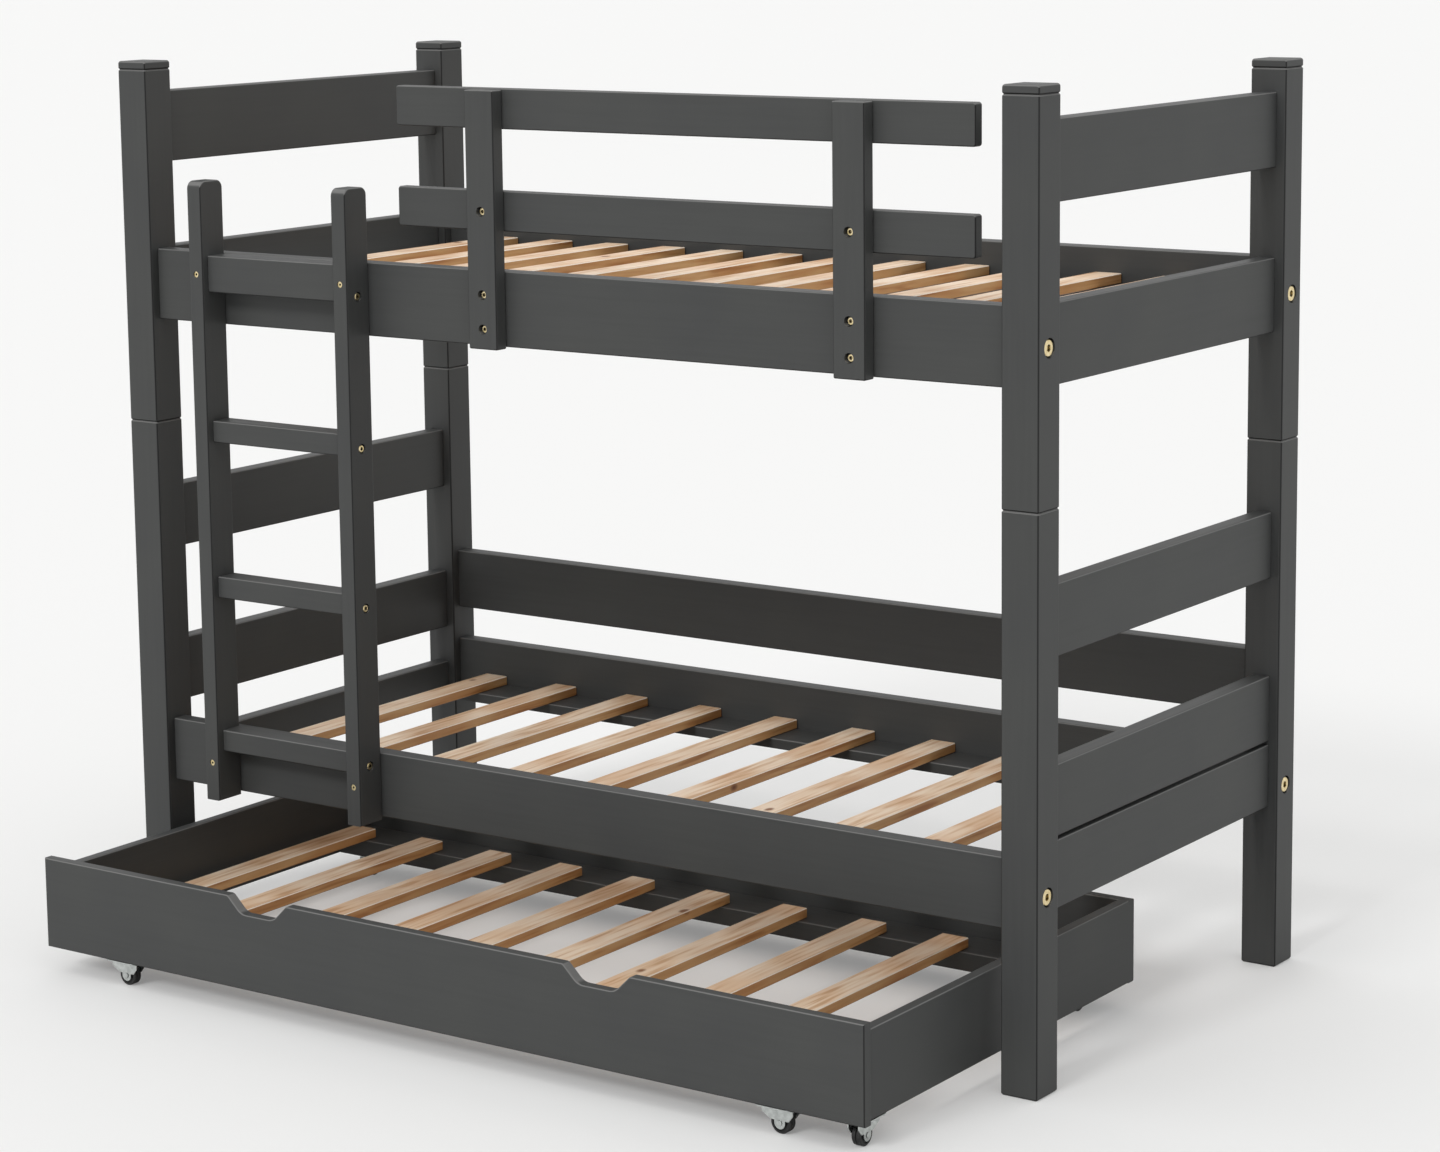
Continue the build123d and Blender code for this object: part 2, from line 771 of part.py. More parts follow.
def ladder_rung(middle, height, drop):
    """A rung between the stiles, bored at both ends for a bolt and its barrel nut."""
    rung = ease_ends(bar_x(rung_length, rung_depth, height, board_edge_radius), Axis.X)
    middle_y = rail_front_y - rung_depth / 2
    bolt_y = stile_middle_y - middle_y
    bolt_deep = ladder_nut_inset + bolt_end_length + bolt_end_room
    nut_top = ladder_nut_length / 2 - drop + nut_clearance
    nut_deep = nut_top + height / 2 + cut_overrun
    for side in (-1, 1):
        bore = rod_x(small_shank_diameter + 2 * small_hole_clearance, bolt_deep + cut_overrun)
        rung -= Pos(side * (rung_length - bolt_deep + cut_overrun) / 2, bolt_y, -drop) * bore
        nut_hole = rod_z(ladder_nut_diameter + 2 * nut_clearance, nut_deep)
        nut_x = side * (rung_length / 2 - ladder_nut_inset)
        rung -= Pos(nut_x, bolt_y, nut_top - nut_deep / 2) * nut_hole
    return Pos(ladder_middle_x, middle_y, middle) * rung


def ladder_bolts():
    sunk = ladder_recess_depth - small_head_height
    shank = stile_thickness - ladder_recess_depth + ladder_nut_inset + bolt_end_length
    bolt = socket_bolt(small_head_diameter, small_head_height, small_shank_diameter, shank,
                       small_socket_size, small_socket_depth)
    bolts = []
    for side_x, x in zip((-1, 1), stile_places.values()):
        face_x = x + side_x * (stile_thickness / 2 - sunk)
        for middle, height, drop in rung_levels():
            bolts.append(Pos(0, stile_middle_y, middle - drop) * to_side(side_x, face_x) * bolt)
    return bolts


def ladder_nuts():
    nut = barrel_nut(ladder_nut_diameter, ladder_nut_length, small_shank_diameter + 2 * nut_clearance)
    nuts = []
    for side_x in (-1, 1):
        x = ladder_middle_x + side_x * (rung_length / 2 - ladder_nut_inset)
        for middle, height, drop in rung_levels():
            nuts.append(Pos(x, stile_middle_y, middle - drop) * nut)
    return nuts


def countersunk_screws():
    """Screws of the ladder into the rails, and of the top guard board into its uprights."""
    screws = []
    long_screw = Rot(quarter_turn, 0, 0) * countersunk_screw(ladder_screw_length())
    for x in stile_places.values():
        for level in ladder_screw_levels():
            screws.append(Pos(x, stile_front_y + screw_recess_depth, level) * long_screw)
    short_screw = Rot(-quarter_turn, 0, 0) * countersunk_screw(guard_board_screw_length())
    for x in upright_places.values():
        for level in guard_board_screw_levels():
            screws.append(Pos(x, guard_board_back_y - screw_recess_depth, level) * short_screw)
    return screws


def front_ladder_cutters(level):
    """What the ladder's screws take out of a front rail at one height."""
    return [ladder_screw_bore(x, level) for x in stile_places.values()]


# Casters

wheel_radius = wheel_diameter / 2
fork_inner_half = wheel_width / 2 + wheel_side_gap
fork_outer_half = fork_inner_half + fork_sheet
fork_top_under = wheel_diameter + fork_head_room
fork_top = fork_top_under + fork_sheet
race_under = fork_top + swivel_gap
caster_height = race_under + race_height + plate_thickness


def caster_wheel():
    """A twin-tread wheel about the Y axis, its middle at the origin."""
    half = wheel_width / 2
    bore = axle_diameter / 2 + axle_clearance
    web = half - wheel_web_recess
    rim = wheel_radius - wheel_rim_thickness
    groove = wheel_groove_width / 2
    shoulder = wheel_radius - wheel_shoulder
    step = hub_diameter / 2 + wheel_web_recess
    outline = Polyline((bore, -half), (hub_diameter / 2, -half), (step, -web), (rim, -web), (rim, -half),
                       (shoulder, -half), (wheel_radius, wheel_shoulder - half), (wheel_radius, -groove),
                       (wheel_radius - wheel_groove_depth, 0), (wheel_radius, groove),
                       (wheel_radius, half - wheel_shoulder), (shoulder, half), (rim, half), (rim, web),
                       (step, web), (hub_diameter / 2, half), (bore, half), close=True)
    return revolve(make_face(outline), Axis.Y)


def caster_axle():
    """A riveted axle along Y: a shank between two heads, its middle at the origin."""
    shank = axle_diameter / 2
    head = axle_head_diameter / 2
    half = fork_outer_half
    outline = Polyline((0, -half - axle_head_height), (head, -half - axle_head_height), (head, -half),
                       (shank, -half), (shank, half), (head, half), (head, half + axle_head_height),
                       (0, half + axle_head_height), close=True)
    return revolve(make_face(outline), Axis.Y)


def caster_fork():
    """A bent-sheet fork: a round race on top, two shouldered side plates ending in round bosses."""
    head_middle = caster_trail / 2
    skirt = fork_top - fork_skirt_height
    shoulder = wheel_radius + fork_shoulder_rise
    outline = Polyline((head_middle - fork_top_half_length, fork_top),
                       (head_middle - fork_top_half_length, skirt),
                       (caster_trail - fork_shoulder_half_length, shoulder),
                       (caster_trail + fork_shoulder_half_length, shoulder),
                       (head_middle + fork_top_half_length, skirt),
                       (head_middle + fork_top_half_length, fork_top), close=True)
    tongue = Pos(caster_trail, wheel_radius + fork_shoulder_rise / 2)
    tongue *= Rectangle(2 * fork_boss_radius, fork_shoulder_rise)
    side = make_face(outline) + tongue + Pos(caster_trail, wheel_radius) * Circle(fork_boss_radius)
    body = extrude(Plane.XZ * side, amount=fork_outer_half, both=True)
    bend = body.faces().sort_by(Axis.Z)[-1].edges().filter_by(Axis.X)
    body = fillet(bend, fork_bend_radius)
    well = Box(bed_length, 2 * fork_inner_half, fork_top_under)
    body -= Pos(0, 0, fork_top_under / 2) * well
    race = Cylinder(fork_race_radius, fork_sheet)
    body += Pos(0, 0, fork_top - fork_sheet / 2) * race
    body -= rod_z(kingpin_diameter + 2 * kingpin_clearance, bed_length)
    return body - Pos(caster_trail, 0, wheel_radius) * rod_y(axle_diameter, bed_length)


def caster_plate():
    """The mounting plate with its pressed upper race, its underside facing the floor."""
    plate = Pos(0, 0, caster_height - plate_thickness) * bar_z(plate_thickness, plate_length, plate_width,
                                                             plate_corner_radius)
    race = Pos(0, 0, race_under + race_height / 2) * Cylinder(race_radius, race_height)
    plate += race
    plate -= rod_z(kingpin_diameter, 2 * caster_height + cut_overrun)
    for x, y in plate_screw_places():
        plate -= Pos(x, y, caster_height) * rod_z(plate_screw_shank_diameter + 2 * screw_clearance,
                                                 2 * plate_thickness + cut_overrun)
    return plate


def caster_kingpin():
    """The rivet that holds the fork to the plate, its head under the fork."""
    under = fork_top_under - swivel_gap
    shank = kingpin_diameter / 2
    head = kingpin_head_diameter / 2
    outline = Polyline((0, caster_height), (shank, caster_height), (shank, under), (head, under),
                       (head, under - kingpin_head_height), (0, under - kingpin_head_height), close=True)
    return revolve(Plane.XZ * make_face(outline), Axis.Z)


def plate_screw_places():
    half_x = plate_screw_spacing_x / 2
    half_y = plate_screw_spacing_y / 2
    return [(-half_x, -half_y), (half_x, -half_y), (-half_x, half_y), (half_x, half_y)]


def plate_screw():
    """A pan-head screw driven up through the plate, at its place in the plate's middle."""
    under = caster_height - plate_thickness
    shank = plate_screw_shank_diameter / 2
    head = plate_screw_head_diameter / 2
    outline = Polyline((0, under + plate_screw_length), (shank, under + plate_screw_length - shank),
                       (shank, under), (head, under), (shank, under - plate_screw_head_height),
                       (0, under - plate_screw_head_height), close=True)
    return revolve(Plane.XZ * make_face(outline), Axis.Z)


# Drawer bed

drawer_front_y = frame_front_y - drawer_reach
drawer_back_y = drawer_front_y + drawer_depth
drawer_side_outer_x = drawer_length / 2 - drawer_side_inset
drawer_inner_x = drawer_side_outer_x - drawer_board_thickness
drawer_inner_front_y = drawer_front_y + drawer_board_thickness
drawer_inner_back_y = drawer_back_y - drawer_board_thickness
drawer_inner_middle_y = (drawer_inner_front_y + drawer_inner_back_y) / 2
drawer_bottom = caster_height
drawer_side_height = drawer_front_height - drawer_side_drop
drawer_slat_top = drawer_bottom + drawer_ledge_height + slat_thickness

side_caster_x = drawer_side_outer_x - plate_width / 2
rear_caster_x = drawer_side_outer_x - rear_caster_inset
rear_caster_y = drawer_inner_back_y - drawer_ledge_width / 2
caster_places = {
    "front_left": (front_caster_inset - drawer_length / 2, drawer_front_y + front_caster_setback, 0),
    "front_right": (drawer_length / 2 - front_caster_inset, drawer_front_y + front_caster_setback, 0),
    "corner": (side_caster_x, drawer_inner_front_y + plate_length / 2, -quarter_turn),
    "rear_right": (rear_caster_x, rear_caster_y, -quarter_turn),
    "rear_left": (-rear_caster_x, rear_caster_y, -quarter_turn),
}


def at_caster(name):
    x, y, turn = caster_places[name]
    return Pos(x, y, 0) * Rot(0, 0, turn)


def plate_screw_cutters():
    """Cutter of each plate screw in the wood above it."""
    hole = rod_z(plate_screw_shank_diameter + 2 * screw_clearance, 2 * plate_screw_length)
    cutters = []
    for name in caster_places:
        for x, y in plate_screw_places():
            cutters.append(at_caster(name) * Pos(x, y, drawer_bottom) * hole)
    return cutters


def drawer_front_face():
    """The front board's outline: hand notches open to the top, with round lips and hollow corners."""
    half_length = drawer_length / 2
    top = drawer_front_height / 2
    points = [(-half_length, -top), (-half_length, top)]
    for side in (-1, 1):
        middle = side * notch_offset
        left = middle - notch_width / 2
        right = middle + notch_width / 2
        points += [(left, top), (left + notch_slope, top - notch_depth),
                   (right - notch_slope, top - notch_depth), (right, top)]
    points += [(half_length, top), (half_length, -top)]
    face = make_face(Polyline(*points, close=True))
    lips = face.vertices().filter_by(lambda v: v.Y > top - notch_depth / 2 and abs(v.X) < half_length - top)
    face = fillet(lips, notch_lip_radius)
    hollows = face.vertices().filter_by(lambda v: abs(v.Y - top + notch_depth) < notch_depth / 2
                                        and abs(v.X) < half_length - top)
    hollows = hollows.group_by(Axis.Y)[0]
    return fillet(hollows, notch_corner_radius)


def drawer_front():
    """The front board, with two hand notches, eased edges and housings for the sides."""
    panel = extrude(Plane.XZ * drawer_front_face(), amount=drawer_board_thickness / 2, both=True)
    panel = fillet(panel.faces().filter_by(Axis.Y).edges(), notch_edge_radius)
    middle_y = drawer_front_y + drawer_board_thickness / 2
    panel = Pos(0, middle_y, drawer_bottom + drawer_front_height / 2) * panel
    wide = drawer_board_thickness + 2 * drawer_housing_clearance
    deep = drawer_housing_depth + drawer_housing_clearance
    housing = Box(wide, deep + cut_overrun, drawer_side_height + drawer_housing_clearance + cut_overrun)
    housing_y = drawer_inner_front_y + (cut_overrun - deep) / 2
    housing_z = drawer_bottom + (drawer_side_height + drawer_housing_clearance - cut_overrun) / 2
    for side in (-1, 1):
        x = side * (drawer_side_outer_x - drawer_board_thickness / 2)
        panel -= Pos(x, housing_y, housing_z) * housing
    for cutter in plate_screw_cutters():
        panel -= cutter
    return panel


def drawer_back_screw_levels():
    middle = drawer_bottom + drawer_side_height / 2
    return [middle - drawer_screw_spacing / 2, middle + drawer_screw_spacing / 2]


def drawer_screw_length():
    return drawer_board_thickness - screw_recess_depth + screw_bite


def drawer_screw_bore(side_x, level):
    x = side_x * (drawer_side_outer_x - drawer_board_thickness / 2)
    cutter = Rot(-quarter_turn, 0, 0) * screw_bore(drawer_screw_length(), screw_recess_depth)
    return Pos(x, drawer_back_y, level) * cutter


def drawer_side(side_x):
    front = drawer_inner_front_y - drawer_housing_depth
    board = bar_y(drawer_inner_back_y - front, drawer_board_thickness, drawer_side_height,
                  board_edge_radius)
    x = side_x * (drawer_side_outer_x - drawer_board_thickness / 2)
    board = Pos(x, (front + drawer_inner_back_y) / 2, drawer_bottom + drawer_side_height / 2) * board
    for level in drawer_back_screw_levels():
        board -= drawer_screw_bore(side_x, level)
    for cutter in plate_screw_cutters():
        board -= cutter
    return board


def drawer_back():
    board = bar_x(2 * drawer_side_outer_x, drawer_board_thickness, drawer_side_height, board_edge_radius)
    middle_y = drawer_back_y - drawer_board_thickness / 2
    board = Pos(0, middle_y, drawer_bottom + drawer_side_height / 2) * board
    for side_x in (-1, 1):
        for level in drawer_back_screw_levels():
            board -= drawer_screw_bore(side_x, level)
    return board


def drawer_ledge(side_y):
    """A batten along the front or the back board, flush with the bottom; slats and casters are on it."""
    batten = bar_x(2 * drawer_inner_x, drawer_ledge_width, drawer_ledge_height, board_edge_radius)
    face_y = drawer_inner_front_y if side_y < 0 else drawer_inner_back_y
    middle_y = face_y - side_y * drawer_ledge_width / 2
    batten = Pos(0, middle_y, drawer_bottom + drawer_ledge_height / 2) * batten
    for cutter in plate_screw_cutters():
        batten -= cutter
    return batten


def drawer_slats():
    slat_length = drawer_inner_back_y - drawer_inner_front_y - 2 * drawer_slat_setback
    return slat_row(drawer_slat_count, 2 * drawer_inner_x, drawer_slat_left_gap, drawer_slat_right_gap,
                    slat_length, drawer_inner_middle_y, drawer_slat_top)


def drawer_screws():
    """Screws of the back board into the sides, and of the caster plates into the wood above."""
    screws = []
    board_screw = Rot(-quarter_turn, 0, 0) * countersunk_screw(drawer_screw_length())
    for side_x in (-1, 1):
        x = side_x * (drawer_side_outer_x - drawer_board_thickness / 2)
        for level in drawer_back_screw_levels():
            screws.append(Pos(x, drawer_back_y - screw_recess_depth, level) * board_screw)
    one = plate_screw()
    for name in caster_places:
        for x, y in plate_screw_places():
            screws.append(at_caster(name) * Pos(x, y, 0) * one)
    return screws


def caster_plates():
    """Each caster's fixed half: its plate and the kingpin riveted into it."""
    plate = caster_plate()
    kingpin = caster_kingpin()
    pieces = []
    for name in caster_places:
        pieces.append(at_caster(name) * plate)
        pieces.append(at_caster(name) * kingpin)
    return pieces


# Writing the sub-parts

def save(name, pieces):
    if not isinstance(pieces, (list, tuple)):
        pieces = [pieces]
    solids = [solid for piece in pieces for solid in piece.solids()]
    shape = solids[0] if len(solids) == 1 else Compound(children=solids)
    shape.label = name
    export_step(shape, "parts/" + name + ".step")


def save_posts():
    cap = post_cap()
    caps = []
    for name, (side_x, side_y) in corners.items():
        place = Pos(side_x * post_x, frame_middle_y + side_y * post_y, 0)
        save(name + "_lower_post", place * lower_post(side_x, side_y))
        save(name + "_upper_post", place * upper_post(side_x, side_y))
        caps.append(place * cap)
    save("post_caps", caps)
    save("post_pins", post_pins())


def save_end_boards():
    for name, side_x in (("left", -1), ("right", 1)):
        save(name + "_upper_headboard", end_board(side_x, upper_headboard_top, upper_board_height))
        save(name + "_upper_end_rail", end_board(side_x, upper_rail_top, upper_board_height))
        boards = [end_board(side_x, top, lower_board_height)
                  for top in (lower_headboard_top, middle_headboard_top)]
        save(name + "_lower_headboards", boards)
    save("left_lower_end_rail", end_board(-1, left_end_rail_top, narrow_board_height))
    save("right_lower_end_rail", end_board(1, right_end_rail_top, right_end_rail_height))


def save_sides():
    upper_front = side_rail(-1, upper_rail_top, upper_board_height)
    upper_level, lower_level = ladder_screw_levels()
    for cutter in front_guard_cutters() + front_ladder_cutters(upper_level):
        upper_front -= cutter
    lower_front = side_rail(-1, lower_rail_top, lower_board_height)
    for cutter in front_ladder_cutters(lower_level):
        lower_front -= cutter
    save("upper_front_rail", upper_front)
    save("lower_front_rail", lower_front)
    save("upper_rear_rail", side_rail(1, upper_rail_top, upper_board_height))
    save("lower_rear_rail", side_rail(1, lower_rail_top, lower_board_height))
    save("rear_safety_board", safety_board())


def save_slat_beds():
    upper_slat_top = upper_rail_top - upper_slat_drop
    lower_slat_top = lower_rail_top - lower_slat_drop
    save("upper_ledges", [ledge(side, upper_slat_top - slat_thickness) for side in (-1, 1)])
    save("lower_ledges", [ledge(side, lower_slat_top - slat_thickness) for side in (-1, 1)])
    save("upper_slats", bed_slats(upper_slat_count, upper_slat_end_gap, upper_slat_top))
    save("lower_slats", bed_slats(lower_slat_count, lower_slat_end_gap, lower_slat_top))


def save_guard_and_ladder():
    save("guard_top_board", guard_top_board())
    save("guard_lower_board", guard_lower_board())
    for name, x in upright_places.items():
        save("guard_" + name + "_upright", guard_upright(x))
    save("guard_bolts", guard_bolt_set())
    for side_x, (name, x) in zip((-1, 1), stile_places.items()):
        save("ladder_" + name + "_stile", ladder_stile(x, side_x))
    levels = rung_levels()
    save("ladder_top_rung", ladder_rung(*levels[0]))
    save("ladder_rungs", [ladder_rung(*level) for level in levels[1:]])
    save("ladder_bolts", ladder_bolts())


def save_frame_fasteners():
    save("frame_bolts", frame_bolts())
    save("barrel_nuts", frame_nuts() + ladder_nuts())
    save("frame_dowels", frame_dowels())
    save("countersunk_screws", countersunk_screws())


def save_drawer():
    save("drawer_front", drawer_front())
    save("drawer_back", drawer_back())
    save("drawer_left_side", drawer_side(-1))
    save("drawer_right_side", drawer_side(1))
    save("drawer_ledges", [drawer_ledge(-1), drawer_ledge(1)])
    save("drawer_slats", drawer_slats())
    save("drawer_screws", drawer_screws())


def save_casters():
    save("caster_plates", caster_plates())
    axle_place = Pos(caster_trail, 0, wheel_radius)
    fork = caster_fork()
    axle = axle_place * caster_axle()
    wheel = axle_place * caster_wheel()
    for name in caster_places:
        save(name + "_fork", [at_caster(name) * fork, at_caster(name) * axle])
        save(name + "_wheel", at_caster(name) * wheel)


os.makedirs("parts", exist_ok=True)
save_posts()
save_end_boards()
save_sides()
save_slat_beds()
save_guard_and_ladder()
save_frame_fasteners()
save_drawer()
save_casters()
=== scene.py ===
import math

import bpy
from mathutils import Matrix, Vector


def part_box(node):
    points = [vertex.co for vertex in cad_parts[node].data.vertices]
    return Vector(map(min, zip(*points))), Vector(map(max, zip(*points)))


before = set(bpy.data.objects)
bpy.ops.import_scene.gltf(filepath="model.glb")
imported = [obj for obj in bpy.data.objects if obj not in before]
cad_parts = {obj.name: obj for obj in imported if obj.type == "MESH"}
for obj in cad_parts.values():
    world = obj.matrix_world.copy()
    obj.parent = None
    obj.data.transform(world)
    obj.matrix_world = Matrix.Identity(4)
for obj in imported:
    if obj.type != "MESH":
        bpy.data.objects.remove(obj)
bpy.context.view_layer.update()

# A bunk bed of graphite-painted softwood with bare pine slats, brass bolts and a drawer bed
# on small casters. Metres, in the row's frame.

MM = 0.001


# Materials

def linear(code):
    """An sRGB hex colour as linear RGBA."""
    parts = [int(code[i:i + 2], 16) / 255 for i in (1, 3, 5)]
    return tuple(c / 12.92 if c <= 0.04045 else ((c + 0.055) / 1.055) ** 2.4 for c in parts) + (1.0,)


def add(tree, kind, inputs=None, **settings):
    """Adds a node; inputs holds a value or another node's output for each named socket."""
    made = tree.nodes.new(kind)
    for name, value in settings.items():
        setattr(made, name, value)
    for name, value in (inputs or {}).items():
        if isinstance(value, bpy.types.NodeSocket):
            tree.links.new(value, made.inputs[name])
        else:
            made.inputs[name].default_value = value
    return made


def ramp(tree, factor, stops):
    """A colour ramp with the given (place, hex colour) stops."""
    made = add(tree, "ShaderNodeValToRGB", {"Fac": factor})
    elements = made.color_ramp.elements
    while len(elements) < len(stops):
        elements.new(0.5)
    for element, (place, code) in zip(elements, stops):
        element.position = place
        element.color = linear(code)
    return made.outputs["Color"]


def per_metre(spacing_mm):
    """Texture scale that gives one feature per spacing."""
    return 1 / (spacing_mm * MM)


def new_material(name):
    material = bpy.data.materials.new(name)
    material.use_nodes = True
    tree = material.node_tree
    return material, tree, tree.nodes["Principled BSDF"]


def along(axis, stretch):
    """Mapping scale that draws a pattern out along one axis."""
    return tuple(1 / stretch if index == axis else 1.0 for index in range(3))


# The largest part of the normal is near 1 on a board's faces and falls on its eased edges.
FACE_NORMAL, EDGE_NORMAL = 0.95, 0.85
# An edge looks up when its normal rises past these heights.
LEVEL_NORMAL, UPWARD_NORMAL = 0.15, 0.35


def tint_edges(tree, colour, edge_highlight, edge_shade):
    """Tints the eased edges of square-cut stock: a painted highlight where they look up, painted
    shade elsewhere.
    """
    normal = add(tree, "ShaderNodeNewGeometry").outputs["Normal"]
    sides = add(tree, "ShaderNodeVectorMath", {0: normal}, operation="ABSOLUTE").outputs["Vector"]
    parts = add(tree, "ShaderNodeSeparateXYZ", {"Vector": sides})
    widest = add(tree, "ShaderNodeMath", {0: parts.outputs["X"], 1: parts.outputs["Y"]},
                 operation="MAXIMUM").outputs["Value"]
    widest = add(tree, "ShaderNodeMath", {0: widest, 1: parts.outputs["Z"]},
                 operation="MAXIMUM").outputs["Value"]
    eased = add(tree, "ShaderNodeMapRange", {"Value": widest, "From Min": FACE_NORMAL,
                                             "From Max": EDGE_NORMAL, "To Min": 0.0,
                                             "To Max": 1.0}).outputs["Result"]
    height = add(tree, "ShaderNodeSeparateXYZ", {"Vector": normal}).outputs["Z"]
    looks_up = add(tree, "ShaderNodeMapRange", {"Value": height, "From Min": LEVEL_NORMAL,
                                                "From Max": UPWARD_NORMAL})
    # Painted highlight on the upward eased edges, painted shade on the others.
    tone = add(tree, "ShaderNodeMix", {0: looks_up.outputs["Result"], 6: linear(edge_shade),
                                       7: linear(edge_highlight)}, data_type="RGBA")
    return add(tree, "ShaderNodeMix", {0: eased, 6: colour, 7: tone.outputs[2]},
               data_type="RGBA").outputs[2]


GRAPHITE_COOL, GRAPHITE_WARM = "#444545", "#474847"
# Painted highlight for the upward eased edges of the paint, painted shade for its other edges.
PAINTED_EDGE_HIGHLIGHT, PAINTED_EDGE_SHADE = "#70706f", "#1e1e1e"
RAISED_GRAIN_MM, RAISED_GRAIN_STRETCH = 7, 28
PAINT_MOTTLE_MM = 160


def painted_softwood(name, axis):
    """Pine under two coats of satin graphite paint: faint raised grain along the board, a soft
    sheen, a painted highlight on the eased edges that look up and painted shade on the other edges."""
    material, tree, shader = new_material(name)
    place = add(tree, "ShaderNodeTexCoord").outputs["Object"]
    drawn = add(tree, "ShaderNodeMapping", {
        "Vector": place, "Scale": along(axis, RAISED_GRAIN_STRETCH)}).outputs["Vector"]
    grain = add(tree, "ShaderNodeTexNoise", {"Vector": drawn, "Scale": per_metre(RAISED_GRAIN_MM),
                                             "Detail": 3.0, "Roughness": 0.6}).outputs["Fac"]
    mottle = add(tree, "ShaderNodeTexNoise", {"Vector": place, "Scale": per_metre(PAINT_MOTTLE_MM),
                                              "Detail": 2.0})
    colour = ramp(tree, mottle.outputs["Fac"], [(0.30, GRAPHITE_COOL), (0.70, GRAPHITE_WARM)])
    streak = ramp(tree, grain, [(0.32, "#f7f7f7"), (0.62, "#ffffff")])
    mixed = add(tree, "ShaderNodeMix", {0: 1.0, 6: colour, 7: streak}, data_type="RGBA",
                blend_type="MULTIPLY")
    # The eased edges get a painted highlight where they look up and painted shade elsewhere.
    edged = tint_edges(tree, mixed.outputs[2], PAINTED_EDGE_HIGHLIGHT, PAINTED_EDGE_SHADE)
    tree.links.new(edged, shader.inputs["Base Color"])
    rough = add(tree, "ShaderNodeMapRange", {"Value": grain, "From Min": 0.3, "From Max": 0.7,
                                             "To Min": 0.46, "To Max": 0.54})
    tree.links.new(rough.outputs["Result"], shader.inputs["Roughness"])
    shader.inputs["Specular IOR Level"].default_value = 0.22
    bump = add(tree, "ShaderNodeBump", {"Height": grain, "Strength": 0.10, "Distance": 0.2 * MM})
    tree.links.new(bump.outputs["Normal"], shader.inputs["Normal"])
    return material


LATEWOOD, MIDWOOD, EARLYWOOD = "#d0a882", "#e6c8a8", "#f0dac2"
# The second colour darkens the side faces against the top and bottom faces: painted shade.
KNOT_BROWN, PAINTED_SIDE_SHADE = "#8a5a34", "#e8ca9e"
# Painted highlight for the pine's upward eased edges, painted shade for its other edges.
PAINTED_PINE_EDGE_HIGHLIGHT, SHADED_PINE_EDGE = "#f8ead8", "#8a6038"
RING_MM, RING_STRETCH = 9, 14
RING_WARP_MM, RING_WARP_SHARE = 90, 0.04
PINE_TONE_MM = 120
KNOT_CELL_MM, KNOT_STRETCH = 110, 1.6
KNOT_CORE, KNOT_RIM = 0.045, 0.085


def bare_wood(name, axis):
    """Wood without finish: planed faces warm straw with darker latewood lines and a few small
    knots; side faces a little browner as painted shade, eased edges with a painted highlight where
    they look up and painted shade elsewhere."""
    material, tree, shader = new_material(name)
    place = add(tree, "ShaderNodeTexCoord").outputs["Object"]
    drawn = add(tree, "ShaderNodeMapping", {
        "Vector": place, "Scale": along(axis, RING_STRETCH)}).outputs["Vector"]
    warp = add(tree, "ShaderNodeTexNoise", {"Vector": drawn, "Scale": per_metre(RING_WARP_MM),
                                            "Detail": 2.0})
    shifted = add(tree, "ShaderNodeMix", {0: RING_WARP_SHARE, 4: drawn, 5: warp.outputs["Color"]},
                  data_type="VECTOR")
    rings = add(tree, "ShaderNodeTexNoise", {"Vector": shifted.outputs[1],
                                             "Scale": per_metre(RING_MM),
                                             "Detail": 1.0}).outputs["Fac"]
    grain = ramp(tree, rings, [(0.30, LATEWOOD), (0.42, MIDWOOD), (0.60, EARLYWOOD)])
    tone = add(tree, "ShaderNodeTexNoise", {"Vector": place, "Scale": per_metre(PINE_TONE_MM),
                                            "Detail": 0.0})
    warmth = ramp(tree, tone.outputs["Fac"], [(0.35, "#f0e2d4"), (0.65, "#ffffff")])
    mixed = add(tree, "ShaderNodeMix", {0: 1.0, 6: grain, 7: warmth}, data_type="RGBA",
                blend_type="MULTIPLY")
    squeezed = add(tree, "ShaderNodeMapping", {"Vector": place, "Scale": along(axis, KNOT_STRETCH)})
    knots = add(tree, "ShaderNodeTexVoronoi", {"Vector": squeezed.outputs["Vector"],
                                               "Scale": per_metre(KNOT_CELL_MM)}, feature="F1")
    knot = add(tree, "ShaderNodeMapRange", {"Value": knots.outputs["Distance"],
                                            "From Min": KNOT_CORE, "From Max": KNOT_RIM,
                                            "To Min": 1.0, "To Max": 0.0})
    knotted = add(tree, "ShaderNodeMix", {0: knot.outputs["Result"], 6: mixed.outputs[2],
                                          7: linear(KNOT_BROWN)}, data_type="RGBA")
    # Painted shade: faces that don't look up or down are darkened.
    normal = add(tree, "ShaderNodeNewGeometry").outputs["Normal"]
    height = add(tree, "ShaderNodeSeparateXYZ", {"Vector": normal}).outputs["Z"]
    level_faces = add(tree, "ShaderNodeMath", {0: height}, operation="ABSOLUTE").outputs["Value"]
    side_shade = add(tree, "ShaderNodeMix", {0: level_faces, 6: linear(PAINTED_SIDE_SHADE), 7: linear("#ffffff")},
               data_type="RGBA")
    shaded = add(tree, "ShaderNodeMix", {0: 1.0, 6: knotted.outputs[2], 7: side_shade.outputs[2]},
                 data_type="RGBA", blend_type="MULTIPLY")
    # The pine's eased edges get a painted highlight where they look up and painted shade elsewhere.
    edged = tint_edges(tree, shaded.outputs[2], PAINTED_PINE_EDGE_HIGHLIGHT, SHADED_PINE_EDGE)
    tree.links.new(edged, shader.inputs["Base Color"])
    shader.inputs["Roughness"].default_value = 0.55
    bump = add(tree, "ShaderNodeBump", {"Height": rings, "Strength": 0.2, "Distance": 0.3 * MM})
    tree.links.new(bump.outputs["Normal"], shader.inputs["Normal"])
    return material


# Painted shade for sockets and inner corners of the metal.
PAINTED_RECESS_SHADE = "#3a3430"
CORNER_REACH_MM = 5


